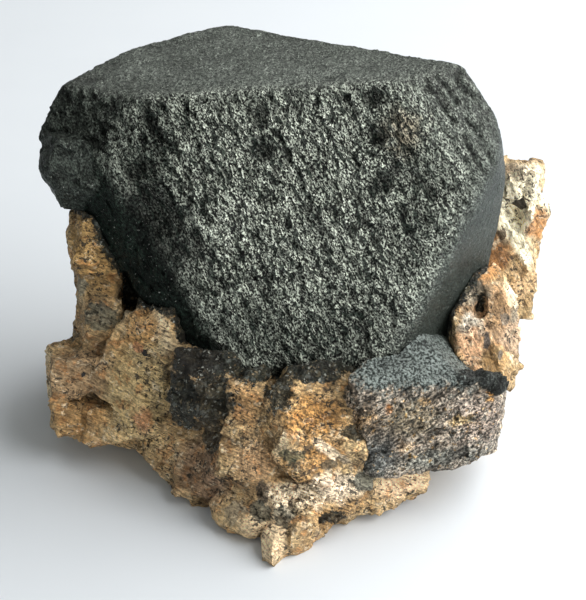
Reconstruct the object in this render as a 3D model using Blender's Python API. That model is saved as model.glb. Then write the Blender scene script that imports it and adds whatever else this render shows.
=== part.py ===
"""A magnetite specimen: a large black crystal and a smaller broken one, held in a block of feldspar.

Metres, +Z up. X runs to the viewer's right and Y away from the viewer.
A direction is an azimuth and an elevation in degrees. Azimuth 0 faces the viewer, and 90 faces +X.
"""

import math
import random
from collections import namedtuple

import bmesh
import bpy
from mathutils import Euler, Matrix, Vector
from mathutils.geometry import delaunay_2d_cdt

# Where the whole specimen stands, so that its footprint is centred on the origin
STAND = Vector((-0.00045, -0.00190, 0.0))

# Gap between pieces that touch
GAP = 0.0003

# The crystal lattice, set by the directions of two of its octahedron faces
FRONT_DIRECTION = (-12.8, 21.3)
TOP_DIRECTION = (-114.2, 81.8)

# The large crystal: the distance of each face from its centre, by Miller index
CRYSTAL_CENTRE = Vector((0.0, 0.014, 0.044))
CRYSTAL_FACES = {
    (1, 1, 1): 0.0191,
    (-1, 1, 1): 0.0243,
    (1, 1, 0): 0.0320,
    (1, 0, 1): 0.0279,
    (1, 0, 0): 0.0340,
    (0, 1, 0): 0.0404,
    (0, 1, -1): 0.0392,
    (-1, -1, 1): 0.0382,
    (-1, 0, -1): 0.0124,
    (-1, -1, -1): 0.0140,
    (1, -1, 1): 0.0328,
    (1, 1, -1): 0.0351,
    (1, 1, -3): 0.0380,
    (-1, -1, 0): 0.0260,
    (1, -1, -1): 0.0300,
    (1, 1, 3): 0.0309,
    (1, 3, 1): 0.0315,
}
# Faces that the feldspar or the specimen's back hides, which get larger facets
PLAIN_FACES = [(1, 0, 0), (-1, -1, -1), (1, -1, -1), (-1, 0, -1), (-1, -1, 0), (1, 1, -3)]

# The block that grew beyond the crystal's left rim, with the same lattice
RIM_CENTRE = Vector((-0.0378, 0.0125, 0.0500))
RIM_FACES = {
    (1, 1, 1): 0.0062,
    (-1, 1, 1): 0.0065,
    (1, 0, 1): 0.0066,
    (0, 0, 1): 0.0066,
    (1, -1, 1): 0.0060,
    (0, -1, 1): 0.0062,
    (-1, -1, 1): 0.0080,
    (1, -1, -1): 0.0072,
    (-1, -1, -1): 0.0080,
    (-1, 0, -1): 0.0080,
    (1, 0, 0): 0.0064,
    (1, 1, -1): 0.0080,
    (0, 1, 0): 0.0080,
}

# The smaller crystal: its natural top face, then broken surfaces, each a direction and a distance
SIDE_CENTRE = Vector((0.0220, -0.0150, 0.0180))
SIDE_FACES = [
    ((20, 60), 0.0086),
    ((15, 15), 0.0066),
    ((-131, 10), 0.0075),
    ((-50, 0), 0.0138),
    ((50, -5), 0.0121),
    ((80, -5), 0.0139),
    ((40, -45), 0.0127),
    ((0, -80), 0.0097),
    ((180, 0), 0.0130),
    ((100, 50), 0.0094),
]

# Dark knobs along the smaller crystal's upper right edge
Knob = namedtuple("Knob", "centre size turn")
KNOBS = [
    Knob((0.0285, -0.0175, 0.0245), (0.0050, 0.0045, 0.0040), 20),
    Knob((0.0320, -0.0165, 0.0235), (0.0046, 0.0046, 0.0044), -30),
    Knob((0.0348, -0.0150, 0.0215), (0.0042, 0.0050, 0.0050), 50),
]

# Growth relief: the size of a facet and how far its corners sink below the face
FINE_FACET = 0.0028
PLAIN_FACET = 0.0055
CRYSTAL_RELIEF = 0.0008
EDGE_WEAR = 0.0004
ROCK_FACET = 0.0064
ROCK_RELIEF = 0.0009
SINK_SHARE = 0.35
# Rock corners nearer to each other than this are one corner
BLUNT = 0.0009

# Hollows in the large crystal's surface: where, how wide and how deep
Dent = namedtuple("Dent", "name place radius depth")
DENTS = [
    Dent("notch on the left rim", (-0.0268, 0.0032, 0.0538), 0.0034, 0.0016),
    Dent("shoulder below the left rim", (-0.0240, 0.0000, 0.0465), 0.0080, 0.0026),
    Dent("foot of the shoulder", (-0.0205, -0.0020, 0.0405), 0.0055, 0.0016),
    Dent("top of the left groove", (-0.0059, 0.0025, 0.0645), 0.0036, 0.0007),
    Dent("left groove", (-0.0052, 0.0004, 0.0590), 0.0036, 0.0008),
    Dent("foot of the left groove", (-0.0042, -0.0026, 0.0520), 0.0036, 0.0007),
    Dent("top of the right groove", (0.0137, 0.0002, 0.0690), 0.0032, 0.0009),
    Dent("right groove", (0.0139, -0.0023, 0.0631), 0.0034, 0.0009),
    Dent("foot of the right groove", (0.0146, -0.0055, 0.0554), 0.0034, 0.0008),
]

# The feldspar: broken blocks with their centre, size, turn about Z and lean towards the viewer
Block = namedtuple("Block", "name centre size turn lean")
BLOCKS = [
    Block("core", (0.0000, 0.0100, 0.0090), (0.0520, 0.0400, 0.0260), 4, 0),
    Block("left column", (-0.0345, 0.0105, 0.0330), (0.0100, 0.0130, 0.0250), 10, -4),
    Block("left column foot", (-0.0345, 0.0085, 0.0215), (0.0105, 0.0150, 0.0180), -8, -10),
    Block("left lobe", (-0.0370, 0.0040, 0.0100), (0.0145, 0.0195, 0.0170), 10, -12),
    Block("left foot", (-0.0310, 0.0000, 0.0065), (0.0140, 0.0140, 0.0110), -20, -20),
    Block("pale slab", (-0.0242, -0.0028, 0.0165), (0.0180, 0.0130, 0.0310), -30, -24),
    Block("pale slab foot", (-0.0200, -0.0070, 0.0070), (0.0130, 0.0120, 0.0180), -34, -30),
    Block("brown slope", (-0.0130, -0.0108, 0.0058), (0.0150, 0.0150, 0.0260), -24, -36),
    Block("tip root", (-0.0075, -0.0235, 0.0025), (0.0100, 0.0130, 0.0090), -30, -40),
    Block("crust below the crystal", (-0.0135, -0.0120, 0.0190), (0.0150, 0.0110, 0.0140), -14, -30),
    Block("orange ridge", (-0.0080, -0.0185, 0.0130), (0.0075, 0.0120, 0.0250), -12, -32),
    Block("front mass", (-0.0010, -0.0125, 0.0090), (0.0300, 0.0220, 0.0230), 4, -36),
    Block("front block", (0.0045, -0.0190, 0.0150), (0.0190, 0.0130, 0.0230), 14, -34),
    Block("front foot", (0.0020, -0.0200, 0.0050), (0.0220, 0.0170, 0.0160), 6, -40),
    Block("front tip", (0.0010, -0.0265, 0.0020), (0.0105, 0.0150, 0.0170), -22, -50),
    Block("tip wedge", (-0.0018, -0.0325, 0.0005), (0.0056, 0.0110, 0.0080), -26, -30),
    Block("lower right band", (0.0140, -0.0165, 0.0050), (0.0245, 0.0130, 0.0110), 34, -18),
    Block("right under the crystal", (0.0210, -0.0060, 0.0060), (0.0160, 0.0160, 0.0130), 30, 0),
    Block("right foot", (0.0222, 0.0090, 0.0100), (0.0190, 0.0280, 0.0240), 10, 0),
    Block("right middle", (0.0330, -0.0010, 0.0240), (0.0130, 0.0150, 0.0230), 10, -34),
    Block("right middle back", (0.0283, 0.0070, 0.0220), (0.0130, 0.0200, 0.0230), 14, -10),
    Block("right shelf", (0.0330, 0.0045, 0.0275), (0.0100, 0.0090, 0.0110), -16, 14),
    Block("right column", (0.0393, 0.0170, 0.0360), (0.0095, 0.0140, 0.0245), -12, -10),
    Block("right column foot", (0.0362, 0.0140, 0.0280), (0.0105, 0.0150, 0.0160), 18, -6),
    Block("right column knob", (0.0415, 0.0160, 0.0400), (0.0065, 0.0090, 0.0110), 30, 6),
    Block("back left", (-0.0230, 0.0230, 0.0150), (0.0250, 0.0230, 0.0320), 18, 10),
    Block("back middle", (0.0020, 0.0300, 0.0130), (0.0300, 0.0170, 0.0290), -6, 14),
    Block("back right", (0.0250, 0.0260, 0.0180), (0.0220, 0.0230, 0.0360), -16, 8),
    Block("back ledge", (-0.0060, 0.0340, 0.0070), (0.0280, 0.0120, 0.0170), 10, 16),
]
# Each block carries broken ledges: how many, their size beside it, and how far they stand out
LEDGES = 2
LEDGE_SHARE = (0.45, 0.75)
LEDGE_REACH = (0.12, 0.22)
# Each block loses its corners to breaks at a share of the box's reach
CHIPS = 14
CHIP_REACH = (0.58, 0.84)

# Holes in the feldspar, as blocks that are taken out
PITS = [
    Block("gap beside the left column", (-0.0290, 0.0060, 0.0310), (0.0045, 0.0260, 0.0130), 0, -30),
    Block("undercut of the left lobe", (-0.0355, -0.0050, 0.0120), (0.0120, 0.0070, 0.0026), -30, 10),
    Block("hollow in the right column", (0.0392, 0.0112, 0.0405), (0.0032, 0.0060, 0.0046), 20, 20),
    Block("hollow in the right middle", (0.0324, -0.0035, 0.0315), (0.0032, 0.0070, 0.0060), -10, 30),
]
FLOOR_CUT = 0.060

# Colour, roughness and metallic value of each material
MAGNETITE = ("grey black magnetite", (0.060, 0.075, 0.066), 0.42, 0.55)
BROKEN_MAGNETITE = ("broken brown magnetite", (0.170, 0.140, 0.115), 0.48, 0.50)
FELDSPAR = ("tan feldspar", (0.520, 0.360, 0.200), 0.80, 0.0)


def clear_scene():
    for thing in list(bpy.data.objects):
        bpy.data.objects.remove(thing, do_unlink=True)


def direction(azimuth, elevation):
    """The unit vector of an azimuth and an elevation in degrees."""
    turn = math.radians(azimuth)
    rise = math.radians(elevation)
    return Vector((math.sin(turn) * math.cos(rise), -math.cos(turn) * math.cos(rise), math.sin(rise)))


def axes_from(first, second):
    """Three unit axes at right angles: the first, the part of the second across it, and their cross."""
    main = first.normalized()
    across = (second - second.dot(main) * main).normalized()
    return Matrix((main, across, main.cross(across))).transposed()


def lattice():
    """The rotation that takes Miller indices to directions in the scene."""
    here = axes_from(direction(*FRONT_DIRECTION), direction(*TOP_DIRECTION))
    there = axes_from(Vector((1, 1, 1)), Vector((-1, 1, 1)))
    return here @ there.transposed()


def crystal_planes(faces, extra=0.0):
    """Each Miller index as a direction in the scene, with its distance and an extra."""
    turn = lattice()
    return [((turn @ Vector(index)).normalized(), distance + extra) for index, distance in faces.items()]


def side_planes(extra=0.0):
    """The smaller crystal's planes as directions and distances, each with an extra."""
    return [(direction(*facing), distance + extra) for facing, distance in SIDE_FACES]


def cut_by_plane(body, point, normal):
    """Takes away what lies beyond the plane and closes the cut with one flat face."""
    everything = body.verts[:] + body.edges[:] + body.faces[:]
    cut = bmesh.ops.bisect_plane(
        body, geom=everything, dist=1e-7, plane_co=point, plane_no=normal, clear_outer=True
    )
    rim = [item for item in cut["geom_cut"] if isinstance(item, bmesh.types.BMEdge)]
    if rim:
        bmesh.ops.contextual_create(body, geom=rim)


def convex_body(centre, planes):
    """What is left of a cube when everything beyond each plane is taken away."""
    body = bmesh.new()
    bmesh.ops.create_cube(body, size=0.3, matrix=Matrix.Translation(centre))
    for normal, distance in planes:
        cut_by_plane(body, centre + normal * distance, normal)
    bmesh.ops.recalc_face_normals(body, faces=body.faces[:])
    return body


def split_evenly(edge, facet):
    """Splits an edge into equal pieces of about one facet each."""
    pieces = max(1, round(edge.calc_length() / facet))
    start = edge.verts[0]
    for left in range(pieces, 1, -1):
        _, start = bmesh.utils.edge_split(edge, start, 1.0 / left)


def inner_points(outline, facet, shuffle):
    """Points on a shaken triangular lattice, all well inside a convex outline."""
    lowest = Vector((min(p.x for p in outline), min(p.y for p in outline)))
    highest = Vector((max(p.x for p in outline), max(p.y for p in outline)))
    sides = list(zip(outline, outline[1:] + outline[:1]))
    found = []
    row = 0
    y = lowest.y
    while y < highest.y:
        x = lowest.x + (row % 2) * facet / 2
        while x < highest.x:
            shake = Vector((shuffle.uniform(-1, 1), shuffle.uniform(-1, 1))) * facet * 0.24
            point = Vector((x, y)) + shake
            if all(distance_inside(point, a, b) > facet * 0.48 for a, b in sides):
                found.append(point)
            x += facet
        y += facet * math.sqrt(0.75)
        row += 1
    return found


def distance_inside(point, start, end):
    """How far a point lies to the left of the line from start to end."""
    along = (end - start).normalized()
    return along.x * (point.y - start.y) - along.y * (point.x - start.x)


def facet_face(body, face, facet, shuffle):
    """Replaces a flat face with small triangles between its corners and points inside it."""
    origin = face.calc_center_median()
    normal = face.normal.copy()
    across = face.loops[0].edge.verts[1].co - face.loops[0].edge.verts[0].co
    across.normalize()
    up = normal.cross(across)
    rim = [loop.vert for loop in face.loops]
    outline = [Vector(((v.co - origin).dot(across), (v.co - origin).dot(up))) for v in rim]
    inside = inner_points(outline, facet, shuffle)
    ring = [list(range(len(rim)))]
    _, _, triangles, sources, _, _ = delaunay_2d_cdt(outline + inside, [], ring, 1, 1e-9)
    fresh = [body.verts.new(origin + across * p.x + up * p.y) for p in inside]
    corners = rim + fresh
    bmesh.ops.delete(body, geom=[face], context="FACES_ONLY")
    for triangle in triangles:
        body.faces.new([corners[sources[i][0]] for i in triangle])


def facet_body(body, facet_of, shuffle):
    """Breaks every flat face of a body into facets of the size that facet_of gives for it.

    It returns the corners that lie on the body's edges.
    """
    bmesh.ops.dissolve_limit(body, angle_limit=0.01, verts=body.verts[:], edges=body.edges[:])
    body.normal_update()
    sizes = {face: facet_of(face.normal) for face in body.faces}
    for edge in body.edges[:]:
        split_evenly(edge, min(sizes[face] for face in edge.link_faces))
    rim = set(body.verts)
    for face, facet in sizes.items():
        facet_face(body, face, facet, shuffle)
    body.normal_update()
    return rim


def dent_depth(place):
    """How deep the crystal's hollows reach at a place: each is a smooth bowl."""
    depth = 0.0
    for dent in DENTS:
        share = (place - Vector(dent.place)).length / dent.radius
        if share < 1.0:
            depth = max(depth, dent.depth * (1.0 - share * share))
    return depth


def sink_corners(body, rim, relief, wear, shuffle, hollows=None):
    """Sinks each corner along its normal: by chance, by wear along the edges, and by the hollows.

    Chance and wear stay within a share of the shortest facet side there, so that no facet folds over.
    """
    moves = []
    for vert in body.verts:
        room = min(edge.calc_length() for edge in vert.link_edges)
        depth = relief * shuffle.random()
        if vert in rim:
            depth += wear
        depth = min(depth, room * SINK_SHARE)
        if hollows:
            depth += hollows(vert.co)
        moves.append((vert, vert.normal * depth))
    for vert, move in moves:
        vert.co -= move


def new_object(name, body, material=None):
    """Puts a bmesh into the scene as an object. With no material it is a helper that stays out of renders."""
    mesh = bpy.data.meshes.new(name)
    body.to_mesh(mesh)
    body.free()
    made = bpy.data.objects.new(name, mesh)
    bpy.context.scene.collection.objects.link(made)
    if material:
        mesh.materials.append(make_material(*material))
    else:
        made.hide_render = True
        made.display_type = "WIRE"
    return made


def make_material(name, colour, roughness, metallic):
    material = bpy.data.materials.new(name)
    material.use_nodes = True
    shader = material.node_tree.nodes["Principled BSDF"]
    shader.inputs["Base Color"].default_value = (*colour, 1.0)
    shader.inputs["Roughness"].default_value = roughness
    shader.inputs["Metallic"].default_value = metallic
    return material


def add_boolean(target, other, operation):
    modifier = target.modifiers.new(f"{operation.lower()} {other.name}", "BOOLEAN")
    modifier.operation = operation
    modifier.solver = "EXACT"
    modifier.object = other


def crystal_facet(normal):
    """Fine facets where the crystal shows, and plain ones where it is hidden."""
    turn = lattice()
    for index in PLAIN_FACES:
        if normal.dot((turn @ Vector(index)).normalized()) > 0.999:
            return PLAIN_FACET
    return FINE_FACET


def grown_body(centre, planes, seed, facet_of, hollows=None):
    """A crystal block with facets, growth relief and worn edges."""
    shuffle = random.Random(seed)
    body = convex_body(centre, planes)
    rim = facet_body(body, facet_of, shuffle)
    sink_corners(body, rim, CRYSTAL_RELIEF, EDGE_WEAR, shuffle, hollows)
    return body


def make_crystal():
    """The large crystal, joined with the block at its left rim."""
    planes = crystal_planes(CRYSTAL_FACES)
    body = grown_body(CRYSTAL_CENTRE, planes, 5, crystal_facet, dent_depth)
    crystal = new_object("magnetite_crystal", body, MAGNETITE)
    rim = grown_body(RIM_CENTRE, crystal_planes(RIM_FACES), 8, lambda normal: FINE_FACET)
    add_boolean(crystal, new_object("rim_block", rim), "UNION")


def plain_crystals():
    """Unworn bodies a gap larger than the crystals, which shape what touches them."""
    large = convex_body(CRYSTAL_CENTRE, crystal_planes(CRYSTAL_FACES, GAP))
    rim = convex_body(RIM_CENTRE, crystal_planes(RIM_FACES, GAP))
    side = convex_body(SIDE_CENTRE, side_planes(GAP))
    return [
        new_object("large_crystal_space", large),
        new_object("rim_block_space", rim),
        new_object("side_crystal_space", side),
    ]


def make_side_crystal(large_space):
    """The smaller crystal, which ends against the large one."""
    body = grown_body(SIDE_CENTRE, side_planes(), 21, lambda normal: FINE_FACET)
    side = new_object("broken_side_crystal", body, BROKEN_MAGNETITE)
    shuffle = random.Random(3)
    for number, knob in enumerate(KNOBS, 1):
        block = Block("knob", knob.centre, knob.size, knob.turn, 0)
        add_boolean(side, new_object(f"knob_{number}", rock_body(block, shuffle)), "UNION")
    add_boolean(side, large_space, "DIFFERENCE")


def block_planes(block, shuffle):
    """The six sides of a block, then breaks at random directions nearer than its corners."""
    turn = Euler((math.radians(block.lean), 0.0, math.radians(block.turn))).to_matrix()
    half = Vector(block.size) / 2
    planes = []
    for axis in range(3):
        for sign in (-1, 1):
            planes.append((turn.col[axis] * sign, half[axis]))
    for _ in range(CHIPS):
        facing = Vector([shuffle.gauss(0, 1) for _ in range(3)]).normalized()
        local = turn.transposed() @ facing
        reach = sum(abs(local[axis]) * half[axis] for axis in range(3))
        planes.append((facing, reach * shuffle.uniform(*CHIP_REACH)))
    return planes


def ledge_of(block, shuffle):
    """A smaller block that stands out from one side of a block."""
    size = [length * shuffle.uniform(*LEDGE_SHARE) for length in block.size]
    way = direction(shuffle.uniform(-180, 180), shuffle.uniform(-20, 50))
    reach = shuffle.uniform(*LEDGE_REACH)
    centre = [c + w * length * reach for c, w, length in zip(block.centre, way, block.size)]
    turn = block.turn + shuffle.uniform(-8, 8)
    return Block(block.name + " ledge", centre, size, turn, block.lean + shuffle.uniform(-8, 8))


def rock_body(block, shuffle):
    """One broken block of feldspar with blunt corners and a rough surface."""
    sharp = convex_body(Vector(block.centre), block_planes(block, shuffle))
    bmesh.ops.remove_doubles(sharp, verts=sharp.verts[:], dist=BLUNT)
    body = bmesh.new()
    for vert in sharp.verts:
        body.verts.new(vert.co)
    sharp.free()
    bmesh.ops.convex_hull(body, input=body.verts[:])
    rim = facet_body(body, lambda normal: ROCK_FACET, shuffle)
    sink_corners(body, rim, ROCK_RELIEF, 0.0, shuffle)
    return body


def helper_collection(name):
    """A collection for helpers that a Boolean takes together."""
    group = bpy.data.collections.new(name)
    bpy.context.scene.collection.children.link(group)
    return group


def add_group_boolean(target, group, operation):
    modifier = target.modifiers.new(f"{operation.lower()} {group.name}", "BOOLEAN")
    modifier.operation = operation
    modifier.solver = "EXACT"
    modifier.operand_type = "COLLECTION"
    modifier.collection = group


def move_to_group(thing, group):
    bpy.context.scene.collection.objects.unlink(thing)
    group.objects.link(thing)


def make_matrix(spaces):
    """The feldspar: its blocks and their ledges joined, with the crystals, the pits and the floor cut out."""
    shuffle = random.Random(25)
    core = rock_body(BLOCKS[0], shuffle)
    matrix = new_object("feldspar_matrix", core, FELDSPAR)
    joined = helper_collection("joined_blocks")
    for block in BLOCKS[1:]:
        family = [block] + [ledge_of(block, shuffle) for _ in range(LEDGES)]
        for member in family:
            piece = new_object(member.name.replace(" ", "_"), rock_body(member, shuffle))
            move_to_group(piece, joined)
    add_group_boolean(matrix, joined, "UNION")
    removed = helper_collection("removed_blocks")
    for pit in PITS:
        piece = new_object(pit.name.replace(" ", "_"), rock_body(pit, shuffle))
        move_to_group(piece, removed)
    floor = bmesh.new()
    sunk = Matrix.Translation((0, 0, -FLOOR_CUT / 2)) @ Matrix.Diagonal((0.3, 0.3, FLOOR_CUT, 1))
    bmesh.ops.create_cube(floor, size=1.0, matrix=sunk)
    move_to_group(new_object("floor_cut", floor), removed)
    for space in spaces:
        move_to_group(space, removed)
    add_group_boolean(matrix, removed, "DIFFERENCE")


def make_specimen():
    clear_scene()
    stand = bpy.data.objects.new("specimen", None)
    bpy.context.scene.collection.objects.link(stand)
    make_crystal()
    spaces = plain_crystals()
    make_side_crystal(spaces[0])
    make_matrix(spaces)
    for thing in bpy.data.objects:
        if thing != stand:
            thing.parent = stand
    stand.location = STAND


make_specimen()
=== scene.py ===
"""The looks of a magnetite specimen: a large black crystal and a smaller broken one, in tan feldspar.

Metres, +Z up, X to the viewer's right and Y away from the viewer. Places written in millimetres are measured
from a point that STAND moves to its place.
"""

import itertools
import math

import bpy
import numpy as np
from mathutils import Matrix, Vector


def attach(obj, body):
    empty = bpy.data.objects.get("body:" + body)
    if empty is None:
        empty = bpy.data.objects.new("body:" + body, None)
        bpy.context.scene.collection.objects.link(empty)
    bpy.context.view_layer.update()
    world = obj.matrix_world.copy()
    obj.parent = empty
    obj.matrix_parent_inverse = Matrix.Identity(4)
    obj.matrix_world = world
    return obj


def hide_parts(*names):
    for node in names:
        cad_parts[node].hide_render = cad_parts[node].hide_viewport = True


MM = 0.001

# Where the specimen stands, so that its footprint is centred on the origin
STAND = np.array((-0.00045, -0.0019, 0))

# The crystal lattice, set by the azimuth and elevation of two octahedron faces, in degrees
FRONT_DIRECTION = (-12.8, 21.3)
TOP_DIRECTION = (-114.2, 81.8)

# The large crystal: its centre, and by Miller index each face's distance and kind of growth relief
CRYSTAL_CENTRE = np.array((0, 14, 44))
CRYSTAL_FACES = {
    (1, 1, 1): (19.1, "front"),
    (-1, 1, 1): (24.3, "top"),
    (1, 1, 0): (32, "front"),
    (1, 0, 1): (27.9, "flank"),
    (1, 0, 0): (34, "front"),
    (0, 1, 0): (40.4, "pitted"),
    (0, 1, -1): (39.2, "smooth"),
    (-1, -1, 1): (38.2, "flank"),
    (-1, 0, -1): (12.4, "flank"),
    (-1, -1, -1): (14, "back"),
    (1, -1, 1): (32.8, "flank"),
    (1, 1, -1): (35.1, "smooth"),
    (1, 1, -3): (38, "smooth"),
    (-1, -1, 0): (26, "back"),
    (1, -1, -1): (30, "smooth"),
    (1, 1, 3): (30.9, "shoulder"),
    (1, 3, 1): (31.5, "pitted"),
}

# The block that grew beyond the crystal's left rim
RIM_CENTRE = np.array((-37.8, 12.5, 50))
RIM_FACES = {
    (1, 1, 1): 6.2,
    (-1, 1, 1): 6.5,
    (1, 0, 1): 6.6,
    (0, 0, 1): 6.6,
    (1, -1, 1): 6,
    (0, -1, 1): 6.2,
    (-1, -1, 1): 8,
    (1, -1, -1): 7.2,
    (-1, -1, -1): 8,
    (-1, 0, -1): 8,
    (1, 0, 0): 6.4,
    (1, 1, -1): 8,
    (0, 1, 0): 8,
}

# The smaller crystal: each surface's azimuth, elevation, distance and kind
SIDE_CENTRE = np.array((22, -15, 18))
SIDE_FACES = [
    (20, 60, 8.6, "grown"),
    (15, 15, 6.6, "broken"),
    (-131, 10, 7.5, "broken"),
    (-50, 0, 13.8, "broken"),
    (50, -5, 12.1, "broken"),
    (80, -5, 13.9, "broken"),
    (40, -45, 12.7, "broken"),
    (0, -80, 9.7, "broken"),
    (180, 0, 13, "grown"),
    (100, 50, 9.4, "grown"),
]

# Dark knobs on the smaller crystal's upper right edge: centre and radii
KNOBS = [
    ((28.8, -16.8, 24.4), (3, 2, 1.3)),
    ((32, -16, 23.7), (2.3, 2, 1.7)),
    ((34.6, -15, 22), (2, 2.2, 1.9)),
]

# Bulges on the feldspar: place, radius and height
BULGES = [
    ((32.6, -1.5, 31), 3.4, 1),
    ((-7, -31.5, 2.5), 4, 1.1),
    ((-12.5, -26.5, 2.5), 4.5, 0.7),
    ((9.2, -21.3, 19.8), 4.5, 1.9),
    ((10, -24.8, 15.6), 4, 1.3),
]

# Hollows in the large crystal: place, radius and depth
DENTS = [
    ((-26.8, 3.2, 53.8), 3.4, 1.5),
    ((-24, 0, 46.5), 8, 2.4),
    ((-20.5, -2, 40.5), 5.5, 1.4),
    ((-5.9, 2.5, 64.5), 2.8, 1.4),
    ((-5.2, 0.4, 59), 2.6, 1.3),
    ((-4.2, -2.6, 52), 2.6, 1),
    ((13.7, 0.2, 69), 2.6, 1.6),
    ((13.9, -2.3, 63.1), 2.8, 1.6),
    ((14.6, -5.5, 55.4), 3, 1.2),
]


def unit(vectors):
    """Vectors with their lengths made 1."""
    return vectors / np.linalg.norm(vectors, axis=-1, keepdims=True)


def limit(values):
    """Values kept between 0 and 1."""
    return np.clip(values, 0, 1)


def direction(azimuth, elevation):
    """The unit vector of an azimuth and an elevation in degrees, where azimuth 0 faces the viewer."""
    turn = math.radians(azimuth)
    rise = math.radians(elevation)
    return np.array((math.sin(turn) * math.cos(rise), -math.cos(turn) * math.cos(rise), math.sin(rise)))


def axes_from(first, second):
    """Three unit axes in columns: the first, the part of the second across it, and their cross."""
    main = unit(first)
    across = unit(second - np.dot(second, main) * main)
    return np.stack((main, across, np.cross(main, across)), axis=1)


FRONT = direction(*FRONT_DIRECTION)
TOP = direction(*TOP_DIRECTION)
LATTICE = axes_from(FRONT, TOP) @ axes_from((1, 1, 1), (-1, 1, 1)).T


def lattice_directions(indices):
    """Miller indices as unit vectors: the lattice's rotation times each index."""
    return unit(np.array(list(indices)) @ LATTICE.T)


CRYSTAL_NORMALS = lattice_directions(CRYSTAL_FACES)
CRYSTAL_DISTANCES = np.array([distance for distance, _ in CRYSTAL_FACES.values()])
CRYSTAL_KINDS = [kind for _, kind in CRYSTAL_FACES.values()]
RIM_NORMALS = lattice_directions(RIM_FACES)
RIM_DISTANCES = np.array(list(RIM_FACES.values()))
SIDE_NORMALS = np.array([direction(azimuth, elevation) for azimuth, elevation, _, _ in SIDE_FACES])
SIDE_DISTANCES = np.array([distance for _, _, distance, _ in SIDE_FACES])
SIDE_IS_BROKEN = [kind == "broken" for *_, kind in SIDE_FACES]


# Chance and noise


def chance(cells, seed):
    """A number from 0 to 1 for each whole-number cell: its indices and the seed, with their bits mixed."""
    x, y, z = (cells[..., axis].astype(np.int64).astype(np.uint32) for axis in range(3))
    mixed = x * np.uint32(73856093) ^ y * np.uint32(19349663) ^ z * np.uint32(83492791)
    mixed = mixed ^ np.uint32((seed * 2654435761) % 2**32)
    for step, factor in ((15, 2246822519), (13, 3266489917)):
        mixed ^= mixed >> np.uint32(step)
        mixed *= np.uint32(factor)
    mixed ^= mixed >> np.uint32(16)
    return mixed / 2.0**32


def soft_noise(spots, seed):
    """Smooth noise from -1 to 1: chance at a unit cell's corners, weighted by 3t^2 - 2t^3 along each axis."""
    base = np.floor(spots)
    share = spots - base
    share = share * share * (3 - 2 * share)
    total = 0
    for corner in itertools.product((0, 1), repeat=3):
        weight = np.prod(np.where(corner, share, 1 - share), axis=-1)
        total = total + weight * chance(base + corner, seed)
    return 2 * total - 1


def shaken(spots, size, reach, seed):
    """Places moved by up to the reach along each axis: soft noise of the size."""
    moves = [soft_noise(spots / size, seed + axis) for axis in range(3)]
    return spots + reach * np.stack(moves, axis=-1)


def cells_near(spots, seed):
    """Each unit cell holds one seed point, at a place set by chance.

    Gives how far the nearest seed point and the second nearest are, the nearest's cell, and the arm from it.
    """
    base = np.floor(spots)
    nearest = np.full(len(spots), np.inf)
    second = np.full(len(spots), np.inf)
    home = np.zeros_like(spots)
    arm = np.zeros_like(spots)
    for offset in itertools.product((-1, 0, 1), repeat=3):
        cell = base + offset
        place = cell + np.stack([chance(cell, seed + axis) for axis in range(3)], axis=-1)
        reach = spots - place
        far = np.linalg.norm(reach, axis=-1)
        closer = far < nearest
        second = np.where(closer, nearest, np.minimum(second, far))
        nearest = np.where(closer, far, nearest)
        home = np.where(closer[:, None], cell, home)
        arm = np.where(closer[:, None], reach, arm)
    return nearest, second, home, arm


def hillocks(spots, seed, lean=0.35):
    """Growth hillocks: over each cell a dome 1 - (distance / 0.8)^2 of a height set by chance.

    They lean up along the first axis, and a crevice runs between them.
    """
    nearest, second, home, arm = cells_near(spots, seed)
    dome = limit(1 - (nearest / 0.8) ** 2)
    crevice = limit((second - nearest) / 0.22)
    return (0.4 + 0.6 * chance(home, seed + 9)) * dome * (0.6 + 0.4 * crevice) + lean * arm[:, 0]


def broken_planes(spots, seed, slope, lean=0):
    """Chips: each cell carries a plane of its own, at a height set by chance and tilted by up to the slope.

    A lean tilts all of them the same way, up along the first axis.
    """
    _, _, home, arm = cells_near(spots, seed)
    tilt = np.stack([chance(home, seed + 20 + axis) for axis in range(3)], axis=-1) * 2 - 1
    return chance(home, seed + 30) - 0.5 + slope * np.sum(tilt * arm, axis=-1) + lean * arm[:, 0]


def pits_in(spots, seed, radius, least):
    """Round pits of depth 1 - (distance / radius)^2, in the cells where chance gives more than the least."""
    nearest, _, home, _ = cells_near(spots, seed)
    return limit(1 - (nearest / radius) ** 2) * (chance(home, seed + 1) > least)


# Surfaces


def placed(name, data):
    """A new object in the scene."""
    thing = bpy.data.objects.new(name, data)
    bpy.context.scene.collection.objects.link(thing)
    return thing


def box_shell(counts):
    """The six sides of a box as quads on a whole-number lattice, where shared edges are stored once."""
    quads = []
    for axis in range(3):
        first, second = (axis + 1) % 3, (axis + 2) % 3
        along, up = np.meshgrid(np.arange(counts[first]), np.arange(counts[second]), indexing="ij")
        for end in (0, counts[axis]):
            ring = ((0, 0), (1, 0), (1, 1), (0, 1))
            quad = np.zeros((along.size, 4, 3), int)
            for place, (step, rise) in enumerate(ring if end else ring[::-1]):
                quad[:, place, axis] = end
                quad[:, place, first] = along.ravel() + step
                quad[:, place, second] = up.ravel() + rise
            quads.append(quad)
    quads = np.concatenate(quads)
    spots, index = np.unique(quads.reshape(-1, 3), axis=0, return_inverse=True)
    return spots, index.reshape(-1, 4)


def reach_to_planes(rays, normals, distances, crisp):
    """How far each ray goes before it leaves the planes, and each plane's share there.

    The reach to one plane is distance / (normal . ray). They join in a soft minimum that rounds the edges:
    the sum of reach^-crisp, to the power -1 / crisp.
    """
    slope = np.maximum(rays @ normals.T, 1e-6)
    reach = distances / slope
    least = reach.min(axis=1, keepdims=True)
    share = (reach / least) ** -crisp
    total = share.sum(axis=1, keepdims=True)
    return (least * total ** (-1 / crisp))[:, 0], share / total


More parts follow.
